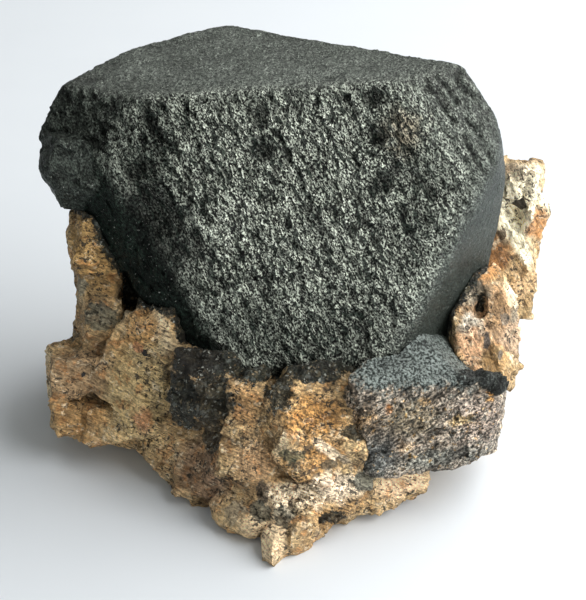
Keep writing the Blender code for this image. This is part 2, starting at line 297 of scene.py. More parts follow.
def reach_through(start, rays, centre, normals, distances):
    """Where each ray from the start enters and leaves a body of planes. On a miss, entry is past exit."""
    slope = rays @ normals.T
    room = distances - normals @ (start - centre)
    safe = np.where(np.abs(slope) < 1e-9, 1e-9, slope)
    reach = room / safe
    enter = np.where(slope < 0, reach, -1e9).max(axis=1)
    leave = np.where(slope > 0, reach, 1e9).min(axis=1)
    return enter, leave


def reach_to_ellipsoid(start, rays, centre, radii):
    """Where each ray from the start leaves an ellipsoid, the larger root of a quadratic, and 0 on a miss."""
    begin = (start - centre) / radii
    slope = rays / radii
    a = np.sum(slope**2, axis=1)
    b = slope @ begin
    c = begin @ begin - 1
    under_root = b * b - a * c
    return np.where(under_root > 0, (-b + np.sqrt(np.maximum(under_root, 0))) / a, 0)


def in_axes(spots, axes, sizes):
    """Places measured along three axes, in units of the three sizes."""
    return spots @ axes / sizes


def in_radii(spots, centre, radii):
    """How far each place lies from a centre, in units of the radii."""
    return np.linalg.norm((spots - centre) / radii, axis=1)


def bowl_depth(spots, bowls):
    """The deepest of the bowls at each place: each is its depth times (1 - (distance / radius)^2)^2."""
    depth = np.zeros(len(spots))
    for place, radius, deep in bowls:
        depth = np.maximum(depth, deep * limit(1 - in_radii(spots, place, radius) ** 2) ** 2)
    return depth


# The large crystal's surface

# Along the front face, growth hillocks are drawn out down to the right
FLOW = unit(np.cross(FRONT, np.cross((0.6, 0, -1), FRONT)))
FLOW_AXES = np.stack((unit(np.cross(FLOW, FRONT)), FLOW, FRONT), axis=1)

# The front face's left has drawn-out ribs. From here to the right, domes come in their place
DOMES_FROM = -14
DOMES_OVER = 12


def front_relief(spots):
    """Tilted flakes on a gently rolling face, over ribs on its left and over domes elsewhere."""
    bent = shaken(spots, 1.7, 0.7, 61)
    flakes = broken_planes(in_axes(bent, FLOW_AXES, (1.3, 2.4, 2)), 5, 0.5, 0.9)
    ribs = soft_noise(in_axes(bent, FLOW_AXES, (2.2, 5, 3)), 10)
    domes = hillocks(in_axes(bent, FLOW_AXES, (1.5, 1.9, 1.8)), 14, 0.2) - 0.4
    rolling = soft_noise(in_axes(spots, FLOW_AXES, (4, 8, 5)), 7)
    ribbed = 0.46 * flakes + 0.35 * ribs + 0.35 * rolling
    domed = limit((spots[:, 0] - DOMES_FROM) / DOMES_OVER)
    return ribbed + domed * (0.55 * domes - 0.14 * flakes - 0.22 * ribs)


def top_relief(spots):
    """Shallow patches, and small grains with sharp creases: soft noise without its sign, in two layers."""
    coarse = np.abs(soft_noise(spots / 0.9, 11))
    fine = np.abs(soft_noise(spots / 0.9 * 1.9 + 5.1, 12))
    patches = 0.22 * soft_noise(spots / 3.2, 12) + 0.25 * soft_noise(spots / 9, 13)
    return 0.22 * (coarse + fine / 1.7) + patches - 0.1


def shoulder_relief(spots):
    """Flakes like the front's, with steps between them."""
    bent = shaken(spots, 1.7, 0.7, 64)
    flakes = broken_planes(in_axes(bent, FLOW_AXES, (1.4, 2.4, 2)), 8, 0.6, 0.8)
    return 0.55 * flakes + 0.45 * broken_planes(bent / 4, 9, 0.6)


def flank_relief(spots):
    """Leathery flakes over low steps."""
    bent = shaken(spots, 1.6, 0.6, 74)
    flakes = broken_planes(bent / (1.3, 1.3, 1.7), 15, 0.8)
    return 0.34 * flakes + 0.35 * broken_planes(bent / 4.5, 16, 0.5) + 0.2 * soft_noise(spots / 2.4, 17)


# Beside the front face lies a smooth band, and then rows of hollows run along the edge
BAND_DEPTH = 0.5
BAND_FADE = 0.6
EDGE_NEIGHBOUR = unit(LATTICE @ (1, 3, 1))
ROW_AXES = axes_from(np.cross(EDGE_NEIGHBOUR, FRONT), EDGE_NEIGHBOUR - FRONT)
ROW_GAP = 2.5


def past_band(spots):
    """0 in the smooth band and 1 past it, by the depth behind the front: its distance - normal . place."""
    distance, _ = CRYSTAL_FACES[(1, 1, 1)]
    depth = distance - (spots - CRYSTAL_CENTRE) @ FRONT
    return limit((depth - BAND_DEPTH) / BAND_FADE)


def pitted_relief(spots):
    """Chips with rows of hollows between them, where a row is 0.5 + 0.5 cos of the place across the rows."""
    bent = shaken(spots, 2, 0.8, 71)
    chips = broken_planes(in_axes(bent, ROW_AXES, (2.4, 1.5, 2)), 18, 0.6)
    rows = 0.5 + 0.5 * np.cos(2 * np.pi * (bent @ ROW_AXES[:, 1] / ROW_GAP))
    breaks = limit(0.7 + 1.3 * soft_noise(in_axes(bent, ROW_AXES, (2.2, 1.2, 2)), 19))
    return past_band(spots) * (0.35 * chips - 0.55 * rows**3 * breaks) + 0.15 * soft_noise(spots / 4, 21)


def smooth_relief(spots):
    """Very fine grains."""
    return 0.07 * hillocks(spots / 0.8, 23) + 0.2 * soft_noise(spots / 5, 24)


def back_relief(spots):
    """Low hillocks and growth steps."""
    return 0.22 * hillocks(spots / 1.5, 26) + 0.4 * broken_planes(spots / 7, 27, 0.25)


RELIEFS = {
    "front": front_relief,
    "top": top_relief,
    "shoulder": shoulder_relief,
    "flank": flank_relief,
    "pitted": pitted_relief,
    "smooth": smooth_relief,
    "back": back_relief,
}

# A kind of relief is left out where its faces have less than this share
LEAST_SHARE = 0.01

# How flaky, pitted and dull each kind of face is. Dullness darkens the colour: partly a duller finish and
# partly painted shade, strongest on the flanks
FACE_LOOKS = {
    "front": (1, 0, 0),
    "top": (0.45, 0, 0.05),
    "shoulder": (0.6, 0, 0.66),
    "flank": (0.6, 0, 1),
    "pitted": (0.55, 1, 0.05),
    "smooth": (0.1, 0, 0.64),
    "back": (0.45, 0, 0.35),
}
RIM_LOOKS = (0.45, 0, 0.58)


def crystal_relief(spots, shares):
    """The height above the flat faces: each kind's relief, weighted by the share of its faces there."""
    height = np.zeros(len(spots))
    for kind, relief in RELIEFS.items():
        part = shares[:, [name == kind for name in CRYSTAL_KINDS]].sum(axis=1)
        there = part > LEAST_SHARE
        height[there] += part[there] * relief(spots[there])
    return height


def painted_shade_share(spots):
    """Painted shade on the front face: how much darker it is towards its ends, its foot and its upper edge,
    with an uneven boundary.
    """
    uneven = soft_noise(spots / 4, 91) + 0.6 * soft_noise(spots / 1.6, 92)
    distance, _ = CRYSTAL_FACES[(-1, 1, 1)]
    below_top = distance - (spots - CRYSTAL_CENTRE) @ TOP
    left = limit((-15 - spots[:, 0] + 1.5 * uneven) / 10)
    right = limit((spots[:, 0] - 10 + 1.5 * uneven) / 12)
    foot = limit((40 - spots[:, 2] + 2 * uneven) / 10)
    brow = limit((3 + uneven - below_top) / 3)
    return np.max((0.84 * left, 0.45 * right, 0.62 * foot, 0.5 * brow), axis=0)


# How sharp the edges are: the crystal's, the rim block's, and those between the looks of two faces
EDGE_CRISP = 55
RIM_CRISP = 30
LOOKS_CRISP = 18


def crystal_looks(spots, rays, shares, on_rim):
    """How flaky, pitted and dull each place is: each face's looks, weighted by its share of the place.
    Dullness darkens the colour, partly for a duller finish and partly as painted shade, and on the front face
    it adds painted shade towards its ends, its foot and its upper edge.
    """
    _, soft_shares = reach_to_planes(rays, CRYSTAL_NORMALS, CRYSTAL_DISTANCES, LOOKS_CRISP)
    face_looks = np.array([FACE_LOOKS[kind] for kind in CRYSTAL_KINDS])
    flaky, pitted, dull_and_shade = (soft_shares @ face_looks).T
    pitted = pitted * past_band(spots)
    dull_and_shade = np.maximum(dull_and_shade, shares @ face_looks[:, 2])
    # Painted shade on the front face, towards its ends, its foot and its upper edge
    dull_and_shade = np.maximum(dull_and_shade, painted_shade_share(spots) * soft_shares[:, 0])
    return np.where(on_rim, np.reshape(RIM_LOOKS, (3, 1)), (flaky, pitted, dull_and_shade))


# The box that the rays pass through: its cells, its reach left, down and back, and right, up and forwards
CRYSTAL_CELLS = np.array((182, 132, 76))
CRYSTAL_LOW = np.array((-37, -27, -16))
CRYSTAL_HIGH = np.array((37, 27, 19))


def large_crystal():
    """Rays from the centre through an evenly divided box end on the crystal's planes, or on the rim block's.

    The box is square to the front face, so that its grid is even there. Relief moves each point along the
    blended normal of the faces that meet there.
    """
    shell, quads = box_shell(CRYSTAL_CELLS)
    box = CRYSTAL_LOW + shell / CRYSTAL_CELLS * (CRYSTAL_HIGH - CRYSTAL_LOW)
    side = np.cross(TOP, FRONT)
    up = TOP - np.dot(TOP, FRONT) * FRONT
    rays = unit(box @ np.stack((unit(side), unit(up), FRONT)))
    reach, shares = reach_to_planes(rays, CRYSTAL_NORMALS, CRYSTAL_DISTANCES, EDGE_CRISP)
    enter, leave = reach_through(CRYSTAL_CENTRE, rays, RIM_CENTRE, RIM_NORMALS, RIM_DISTANCES)
    on_rim = (enter < leave) & (leave > reach)
    spots = CRYSTAL_CENTRE + rays * np.where(on_rim, leave, reach)[:, None]
    _, rim_shares = reach_to_planes(unit(spots - RIM_CENTRE), RIM_NORMALS, RIM_DISTANCES, RIM_CRISP)
    facing = np.where(on_rim[:, None], unit(rim_shares @ RIM_NORMALS), unit(shares @ CRYSTAL_NORMALS))
    height = np.where(on_rim, flank_relief(spots), crystal_relief(spots, shares))
    sunk = bowl_depth(spots, DENTS)
    # The rise is the relief's height, lower in the dents; the material darkens low places with it as painted
    # shade
    rise = limit(0.5 + height - 0.45 * sunk)
    flaky, pitted, dull_and_shade = crystal_looks(spots, rays, shares, on_rim)
    spots = spots + facing * (height - sunk)[:, None]
    return spots, quads, {"rise": rise, "flaky": flaky, "pitted": pitted, "dull_and_shade": dull_and_shade}


# The smaller crystal's surface

# Streaks on the break rise to the right
STREAK_AXES = axes_from((0.86, 0.12, 0.5), (0, -1, 0))

# The box that the rays pass through: its cells and its half sizes
SIDE_CELLS = np.array((110, 76, 84))
SIDE_HALF = np.array((14, 8, 9))

# How sharp its edges are, and those between the looks of two faces
SIDE_CRISP = 45
SIDE_LOOKS_CRISP = 7

# How far it reaches into the large crystal, and where the break's look takes over its right end
SIDE_OVERLAP = 0.4
ALL_BROKEN_FROM = 30
ALL_BROKEN_OVER = 3


def broken_relief(spots):
    """Streaks drawn out along the rise, chips and small pits."""
    bent = shaken(spots, 2.2, 0.7, 77)
    streaks = soft_noise(in_axes(bent, STREAK_AXES, (6, 1.2, 0.8)), 31)
    chips = broken_planes(in_axes(bent, STREAK_AXES, (2.6, 1.3, 1.3)), 33, 0.6)
    pits = pits_in(in_axes(bent, STREAK_AXES, (1.8, 0.9, 0.9)), 35, 0.4, 0.62)
    return 0.2 * streaks + 0.36 * chips + 0.3 * soft_noise(spots / 4, 34) - 0.4 * pits


def grown_relief(spots):
    """Close grains, with a few shallow hollows."""
    return 0.22 * hillocks(spots / 0.85, 37) + 0.25 * soft_noise(spots / 2.6, 38)


def knob_relief(spots):
    """Sharp chips and lumps."""
    return 0.5 * broken_planes(spots / 1.3, 39, 0.9) + 0.5 * soft_noise(spots, 40)


def side_crystal():
    """Rays from the centre end on the planes, past them on the knobs, and just inside the large crystal.

    Relief moves each point along the blended normal of the planes that meet there.
    """
    shell, quads = box_shell(SIDE_CELLS)
    rays = unit((2 * shell / SIDE_CELLS - 1) * SIDE_HALF)
    reach, shares = reach_to_planes(rays, SIDE_NORMALS, SIDE_DISTANCES, SIDE_CRISP)
    knob = np.zeros(len(rays))
    black = np.zeros(len(rays))
    for centre, radii in KNOBS:
        far = reach_to_ellipsoid(SIDE_CENTRE, rays, centre, radii)
        knob = np.maximum(knob, limit((far - reach) / 0.6 + 0.5))
        black = np.maximum(black, limit((far - reach) / 2.4 + 0.1))
        reach = np.maximum(reach, far)
    enter, leave = reach_through(SIDE_CENTRE, rays, CRYSTAL_CENTRE, CRYSTAL_NORMALS, CRYSTAL_DISTANCES)
    blocked = (enter < leave) & (enter > 0)
    reach = np.where(blocked, np.minimum(reach, enter + SIDE_OVERLAP), reach)
    spots = SIDE_CENTRE + rays * reach[:, None]
    broken = shares[:, SIDE_IS_BROKEN].sum(axis=1) * (1 - knob)
    height = broken * broken_relief(spots) + (1 - broken) * grown_relief(spots) + knob * knob_relief(spots)
    # The rise is the relief's height; the material darkens low places with it as painted shade
    rise = limit(0.5 + height)
    spots = spots + unit(shares @ SIDE_NORMALS) * height[:, None]
    _, soft_shares = reach_to_planes(rays, SIDE_NORMALS, SIDE_DISTANCES, SIDE_LOOKS_CRISP)
    right_end = limit((spots[:, 0] - ALL_BROKEN_FROM) / ALL_BROKEN_OVER)
    look = limit(soft_shares[:, SIDE_IS_BROKEN].sum(axis=1) + right_end)
    return spots, quads, {"rise": rise, "broken": look, "black": black}


# The feldspar's surface

# The even mesh's cell in metres, and the distance within which points of the solid are one
ROCK_CELL = 0.00053
MERGE_WITHIN = 1e-6

# Points lower than this stay at their height, and the normals are evened out this many times
FLAT_BELOW = 0.3
EVENINGS = 8

# The tip at the front, where the faces are clean cleavage. It narrows to a point from TIP_FROM forwards
TIP_CENTRE = (-3.9, -36, 2)
TIP_RADIUS = 6
TIP_FROM = -33
TIP_LENGTH = 5.5


def neighbour_mean(values, edges):
    """Each vertex's value averaged with those at the other ends of its edges."""
    count = len(values)
    total = values.copy()
    number = np.ones(count)
    for near, far in ((0, 1), (1, 0)):
        for axis in range(values.shape[1]):
            total[:, axis] += np.bincount(edges[:, near], values[edges[:, far], axis], count)
        number += np.bincount(edges[:, near], minlength=count)
    return total / number[:, None]


def outside(spots, centre, normals, distances):
    """How far each place lies outside a crystal: the largest of normal . place - distance."""
    return ((spots - centre) @ normals.T - distances).max(axis=1)


# The grain lies along the first axis of the cleavage
CLEAVAGE_AXES = axes_from((0.9, -0.2, -0.32), (0.1, 0.3, 1))

# At the right end the cleavage is steep
STEEP_AXES = axes_from((0.46, -0.15, -0.87), (0.9, 0, 0.45))
STEEP_FROM = 26
STEEP_TO = 30


def rock_relief(spots):
    """Cleavage steps of three sizes, a woody grain and pits. At the right end the steps are steep."""
    bent = shaken(spots, 4, 0.9, 81)
    large = broken_planes(in_axes(bent, CLEAVAGE_AXES, (8.5, 5, 6.5)), 41, 0.35)
    middle = broken_planes(in_axes(bent, CLEAVAGE_AXES, (4, 1.8, 2.8)), 43, 0.6)
    small = broken_planes(in_axes(bent, CLEAVAGE_AXES, (2.2, 0.8, 1.2)), 45, 0.6)
    grain = soft_noise(in_axes(bent, CLEAVAGE_AXES, (3.6, 0.8, 1.2)), 47)
    woody = 0.8 * large + 0.48 * middle + 0.24 * small + 0.14 * grain
    blocks = broken_planes(in_axes(bent, STEEP_AXES, (7, 2.8, 4.5)), 42, 0.55)
    slivers = broken_planes(in_axes(bent, STEEP_AXES, (3, 1.2, 2)), 44, 0.6)
    steep = limit((spots[:, 0] - STEEP_FROM) / (STEEP_TO - STEEP_FROM))
    pits = pits_in(spots / 2.2, 49, 0.36, 0.6)
    return woody + steep * (0.95 * blocks + 0.35 * slivers - woody) - 0.5 * pits


def crust_relief(spots):
    """Chips of two sizes on the dark crust, which fade towards the surfaces of the ellipsoids in CRUSTS_AND_GAP_SHADE."""
    share = np.zeros(len(spots))
    for centre, radii, strength in CRUSTS_AND_GAP_SHADE:
        share = np.maximum(share, strength * limit(1.6 * (1 - in_radii(spots, centre, radii))))
    return share * (0.6 * broken_planes(spots / 2, 52, 1) + 0.25 * broken_planes(spots / 0.9, 53, 0.9))


def read(items, name, each=1, kind=float):
    """One property of all of a mesh's items, in one row, with so many values for each."""
    values = np.empty(len(items) * each, kind)
    items.foreach_get(name, values)
    return values


def even_surface(node):
    """A solid's surface on an even mesh: places in millimetres, normals, edges and quads."""
    draft = placed("feldspar_draft", node.data.copy())
    draft.modifiers.new("merge", "WELD").merge_threshold = MERGE_WITHIN
    even = draft.modifiers.new("even", "REMESH")
    even.mode = "VOXEL"
    even.voxel_size = ROCK_CELL
    graph = bpy.context.evaluated_depsgraph_get()
    mesh = bpy.data.meshes.new_from_object(draft.evaluated_get(graph))
    bpy.data.objects.remove(draft, do_unlink=True)
    spots = (read(mesh.vertices, "co", 3).reshape(-1, 3) - STAND) / MM
    facing = read(mesh.vertices, "normal", 3).reshape(-1, 3)
    edges = read(mesh.edges, "vertices", 2, int).reshape(-1, 2)
    quads = read(mesh.loops, "vertex_index", 1, int).reshape(-1, 4)
    bpy.data.meshes.remove(mesh)
    return spots, facing, edges, quads


def feldspar_matrix(node):
    """The solid's surface, softened, then moved along its soft normals by cleavage steps, chips and bulges.

    The steps are low beside the crystals, where the rock laps against them, and on the tip.
    """
    spots, facing, edges, quads = even_surface(node)
    flat = spots[:, 2] < FLAT_BELOW
    base = spots[:, 2].copy()
    spots = neighbour_mean(spots, edges)
    for _ in range(EVENINGS):
        facing = neighbour_mean(facing, edges)
    far_large = outside(spots, CRYSTAL_CENTRE, CRYSTAL_NORMALS, CRYSTAL_DISTANCES)
    far_small = outside(spots, SIDE_CENTRE, SIDE_NORMALS, SIDE_DISTANCES)
    near_crystals = 1 - limit(np.minimum(far_large, far_small) / 1.5)
    tip = limit(2 * (1 - in_radii(spots, TIP_CENTRE, TIP_RADIUS)))
    height = rock_relief(spots) * (1 - 0.9 * tip)
    lap = 0.15 + 0.45 * near_crystals
    shift = height * (1 - 0.75 * near_crystals) + crust_relief(spots) + lap + bowl_depth(spots, BULGES)
    spots = spots + unit(facing) * shift[:, None]
    ahead = limit((TIP_FROM - spots[:, 1]) / TIP_LENGTH)
    spots[:, 0] += (TIP_CENTRE[0] - spots[:, 0]) * 0.8 * ahead
    spots[:, 2] = np.where(flat, base, np.maximum(spots[:, 2], 0))
    # The rise is the relief's height; the material darkens low places with it as painted shade
    rise = limit(0.5 + 0.45 * height)
    # Near the crystals the feldspar takes the dark crust's colour: partly crust, partly painted shade in the
    # joint
    contact = np.maximum(limit(1 - far_large / 2.6), 0.45 * limit(1 - far_small / 1.2))
    return spots, quads, {"rise": rise, "contact": contact}


# Materials


class Wire:
    """A material's output socket that takes part in sums: an operator adds its Math or Vector Math node."""

    def __init__(self, tree, socket=None):
        self.tree = tree
        self.socket = socket

    def node(self, kind, settings=None, inputs=None, output=0):
        """Adds a shader node of the kind, with its settings first and then its sockets' values or links."""
        made = self.tree.nodes.new("ShaderNode" + kind)
        for name, value in (settings or {}).items():
            setattr(made, name, value)
        fill(made.inputs, inputs or {})
        return Wire(self.tree, made.outputs[output])

    def sum_with(self, operation, *others, swapped=False):
        """A Math node, or a Vector Math node where this socket holds a vector."""
        values = [self, *others]
        if swapped:
            values.reverse()
        if self.socket.type == "VALUE":
            return self.node("Math", {"operation": operation}, dict(enumerate(values)))
        values = [(value,) * 3 if isinstance(value, (int, float)) else value for value in values]
        return self.node("VectorMath", {"operation": operation}, dict(enumerate(values)))

    def __add__(self, other):
        return self.sum_with("ADD", other)

    def __sub__(self, other):
        return self.sum_with("SUBTRACT", other)

    def __mul__(self, other):
        return self.sum_with("MULTIPLY", other)

    def __rsub__(self, other):
        return self.sum_with("SUBTRACT", other, swapped=True)

    __radd__ = __add__
    __rmul__ = __mul__

    def ramp(self, low, high, start=0, end=1):
        """Rises smoothly from start to end as the value goes from low to high."""
        places = {"Value": self, "From Min": low, "From Max": high, "To Min": start, "To Max": end}
        return self.node("MapRange", {"interpolation_type": "SMOOTHSTEP"}, places)

    def beside(self, output):
        """Another output of the node that this wire comes from."""
        return Wire(self.tree, self.socket.node.outputs[output])

    def dot(self, other):
        return self.node("VectorMath", {"operation": "DOT_PRODUCT"}, {0: self, 1: other}, output=1)

    def length(self):
        return self.node("VectorMath", {"operation": "LENGTH"}, {0: self}, output=1)

    def noise(self, size, detail=3, rough=0.55, shift=0):
        """Fractal noise with features of about the size in metres. The shift picks another stretch of it."""
        spot = self * (1 / size) + shift
        places = {"Vector": spot, "Scale": 1, "Detail": detail, "Roughness": rough}
        return self.node("TexNoise", None, places)

    def cells(self, size, feature="F1"):
        """Cells of about the size in metres: how far the place is from its cell's point, or from its edge."""
        places = {"Vector": self * (1 / size), "Scale": 1}
        return self.node("TexVoronoi", {"feature": feature}, places)

    def along(self, axes, sizes):
        """Places measured along turned axes in units of the sizes."""
        turn = Matrix(axes).to_euler()
        places = {"Vector": self, "Rotation": turn, "Scale": sizes}
        return self.node("Mapping", {"vector_type": "TEXTURE"}, places)

    def near(self, centre, radii, edge=0.5):
        """1 inside an ellipsoid given in millimetres, falling to 0 at its surface."""
        arm = (self - (np.array(centre) * MM + STAND)) * (1 / (np.array(radii) * MM))
        return arm.length().ramp(1, 1 - edge)


def fill(sockets, values):
    """Links wires to the sockets and sets plain values on them."""
    for name, value in values.items():
        if isinstance(value, Wire):
            value.tree.links.new(value.socket, sockets[name])
        else:
            sockets[name].default_value = value


def blend(under, over, share):
    """A colour between two, where each may be a value or a wire."""
    return share.node("Mix", {"data_type": "RGBA"}, {0: share, 6: colour(under), 7: colour(over)}, 2)


def darken(tint, share):
    """A colour times a share of its brightness."""
    grey = tint.node("CombineColor", None, {"Red": share, "Green": share, "Blue": share})
    settings = {"data_type": "RGBA", "blend_type": "MULTIPLY"}
    return tint.node("Mix", settings, {0: 1, 6: tint, 7: grey}, output=2)


def colour(value):
    """A wire as it is, or a plain colour with its alpha."""
    return value if isinstance(value, Wire) else (*value, 1)


def new_material(name, *measures):
    """A material, its shader's sockets, and wires: object coordinates and values of the mesh's vertices."""
    material = bpy.data.materials.new(name)
    material.use_nodes = True
    spot = Wire(material.node_tree).node("TexCoord", output=3)
    values = [spot.node("Attribute", {"attribute_name": measure}, output=2) for measure in measures]
    return material, material.node_tree.nodes["Principled BSDF"].inputs, spot, *values


def bump(height, depth):
    """A normal from a height, where 1 is as high as the depth in metres."""
    return height.node("Bump", None, {"Height": height, "Distance": depth})


def ragged_place(spot, size, reach):
    """The place, shaken by noise in each direction, so that a patch has a ragged edge."""
    shake = spot.noise(size, 4, 0.5).beside(1) - 0.5
    return spot + shake * (2 * reach)


def patch(spot, crumbs, centre, radii):
    """1 within an ellipsoid whose edge is broken up by noise, with islands beyond it."""
    return (spot.near(centre, radii, 0.9) + (crumbs - 0.5) * 1.6).ramp(0.24, 0.36)


# All flakes rise towards the lower left, where they end in a step
FLAKE_LEAN = 0.7


def flakes_over(spot):
    """Flakes that overlap: each cell's own slope, chance about a common lean, times the place within it."""
    cell = spot.cells(1)
    slope = cell.beside(1) + (FLAKE_LEAN - 0.5, -0.5, -0.5)
    return slope.dot(spot - cell.beside(2)) + 0.5


def warm_patch(spot):
    """The brownish tint at the front face's upper right."""
    ragged = spot + (spot.noise(0.002) - 0.5) * 0.006
    return ragged.near((18.5, -2, 64), (5.5, 6, 5.5), 0.8)


def magnetite_looks():
    """Grey-black and half metallic, lighter where it is flaky, with crinkles and painted glints, and with
    painted shade in the crevices, the pits and low places, on dull faces, and towards the front face's ends,
    foot and upper edge.
    """
    measures = ("rise", "flaky", "pitted", "dull_and_shade")
    material, sockets, spot, rise, flaky, pitted, dull_and_shade = new_material("magnetite", *measures)
    pits = ragged_place(spot, 0.001, 0.0003).along(FLOW_AXES, (0.00075, 0.0021, 0.0012)).noise(1, 2.5)
    large = flakes_over(ragged_place(spot, 0.0016, 0.0007).along(FLOW_AXES, (0.0011, 0.0021, 0.0016)))
    small = flakes_over(ragged_place(spot, 0.0008, 0.0004).along(FLOW_AXES, (0.0006, 0.0011, 0.0008)))
    crinkles = spot.along(FLOW_AXES, (0.00024, 0.00044, 0.00036)).noise(1, 2, 0.6, 4)
    grit = spot.noise(0.00036, 4, 0.7)
    # Where the tiny painted glints go
    specks_and_painted_glints = spot.noise(0.00042, 2, 0.5, 7).ramp(0.69, 0.72)
    tint = blend((0.072, 0.084, 0.073), (0.104, 0.119, 0.105), spot.noise(0.006).ramp(0.35, 0.65))
    tint = blend(tint, (0.362, 0.393, 0.336), flaky.ramp(0.3, 1))
    tint = blend(tint, (0.34, 0.27, 0.18), warm_patch(spot) * 0.7)
    # Dull places go near black: partly a duller finish, partly painted shade
    tint = blend(tint, (0.007, 0.014, 0.01), dull_and_shade)
    # Painted shade in low places and dents, and a little painted light on high places
    tint = darken(tint, rise.ramp(0, 0.6, 0.3, 1.06))
    tint = darken(tint, grit.ramp(0.35, 0.65, 0.48, 1.45))
    # Painted shade in the crevices at the low end of each flake, large and small
    tint = blend(tint, (0.014, 0.022, 0.017), flaky * large.ramp(0.5, 0.22, 0, 0.92))
    tint = darken(tint, 1 - flaky * small.ramp(0.44, 0.18, 0, 0.65))
    tint = darken(tint, 1 + (flaky * 0.6 + 0.2) * crinkles.ramp(0.39, 0.61, -1.6, 1.5))
    # Painted shade in the pits
    tint = darken(tint, 1 - pits.ramp(0.5, 0.42) * pitted * 0.5)
    # Painted glints: tiny pale highlights
    tint = blend(tint, (0.6, 0.62, 0.58), specks_and_painted_glints * (flaky * 0.3 + 0.3))
    flakes = (large + small * 0.5 + crinkles * 0.6) * (flaky * 0.9 + 0.16)
    metallic = flaky * 0.25 + 0.35 + dull_and_shade * 0.3
    rough = grit.ramp(0.3, 0.7, 0.3, 0.52)
    normal = bump(grit * 0.3 + flakes + pits * pitted, 0.00075)
    fill(sockets, {"Base Color": tint, "Metallic": metallic, "Roughness": rough, "Normal": normal})
    return material


# Patches of other colour on the broken crystal: centre, radii, colour and strength
BREAK_PATCHES = [
    ((31, -18.5, 17), (7, 6, 7), (0.42, 0.335, 0.275), 0.8),
    ((20, -22, 19.5), (6.5, 6, 4), (0.29, 0.235, 0.15), 0.75),
    ((22, -21.5, 12), (9, 6, 2.6), (0.2, 0.21, 0.185), 0.8),
    ((30, -18, 12), (6, 6, 3), (0.23, 0.235, 0.215), 0.8),
    ((13.5, -24.5, 13.5), (6, 5, 4.5), (0.11, 0.125, 0.125), 0.85),
    ((12.5, -21.5, 19.5), (3, 4, 4.5), (0.48, 0.29, 0.12), 0.85),
    ((19, -22.8, 14.8), (2.8, 2.5, 1.3), (0.64, 0.47, 0.31), 0.9),
    ((16, -22, 21.8), (1.3, 2, 1), (0.42, 0.18, 0.05), 0.9),
    ((21.5, -20.5, 22), (2.4, 2.5, 1.4), (0.4, 0.26, 0.12), 0.8),
    ((33.6, -17, 21), (1.4, 3, 1), (0.56, 0.29, 0.07), 0.8),
    ((28.5, -19.5, 18), (3.4, 3, 1.4), (0.48, 0.33, 0.11), 0.6),
]


def break_looks():
    """Grey rough growth, a brownish metallic break with streaks, stains and black specks, and black knobs,
    with painted glints on the break and the knobs and painted shade in low places.
    """
    material, sockets, spot, rise, broken, black = new_material("broken_magnetite", "rise", "broken", "black")
    grit = spot.noise(0.00025, 4, 0.7)
    drawn = ragged_place(spot, 0.0015, 0.0006).along(STREAK_AXES, (0.0013, 0.00042, 0.00034))
    streaks = drawn.noise(1, 4, 0.7)
    tufts = spot.along(STREAK_AXES, (0.003, 0.001, 0.0009)).noise(1, 3, 0.6, 23)
    crumbs = spot.noise(0.001, 5, 0.7, 12)
    crinkles = spot.noise(0.00045, 3, 0.7, 3)
    grown = blend((0.006, 0.012, 0.01), (0.29, 0.335, 0.315), crinkles.ramp(0.42, 0.6))
    face = blend((0.27, 0.23, 0.185), (0.42, 0.35, 0.275), crumbs.ramp(0.4, 0.6))
    ragged = ragged_place(spot, 0.0012, 0.0011)
    for centre, radii, stain, strength in BREAK_PATCHES:
        face = blend(face, stain, ragged.near(centre, radii, 0.6) * strength)
    gold = ragged_place(spot, 0.001, 0.0005).noise(0.0008, 2, 0.5, 21).ramp(0.63, 0.68)
    face = blend(face, (0.5, 0.29, 0.08), gold * 0.7)
    face = blend(face, (0.11, 0.12, 0.105), tufts.ramp(0.54, 0.64) * 0.7)
    face = darken(face, streaks.ramp(0.36, 0.64, 0.28, 1.85))
    face = darken(face, crinkles.ramp(0.4, 0.6, 0.28, 1.6))
    # Painted glints on the break
    glints = spot.noise(0.00038, 2, 0.5, 31).ramp(0.65, 0.7)
    face = blend(face, (0.85, 0.82, 0.72), glints * 0.8)
    specks_and_painted_glints = spot.noise(0.00055, 2, 0.5, 11).ramp(0.6, 0.66)
    face = blend(face, (0.02, 0.022, 0.018), specks_and_painted_glints * 0.9)
    tint = blend(grown, face, (broken + (crumbs - 0.5) * 1.3).ramp(0.4, 0.75))
    knobs = (black + (crumbs - 0.5) * 1.2).ramp(0.22, 0.32)
    tint = blend(tint, (0.012, 0.014, 0.012), knobs)
    # Painted glints on the knobs
    tint = blend(tint, (0.2, 0.22, 0.2), knobs * crinkles.ramp(0.5, 0.64) * 0.45)
    # Painted shade in low places, and a little painted light on high ones
    tint = darken(tint, rise.ramp(0.1, 0.7, 0.3, 1.1))
    metallic = broken * 0.3 + 0.25
    rough = grit.ramp(0.3, 0.7, 0.34, 0.6)
    normal = bump(grit * 0.5 + streaks * broken * 0.8 + crinkles * (1.4 - broken), 0.00045)
    fill(sockets, {"Base Color": tint, "Metallic": metallic, "Roughness": rough, "Normal": normal})
    return material


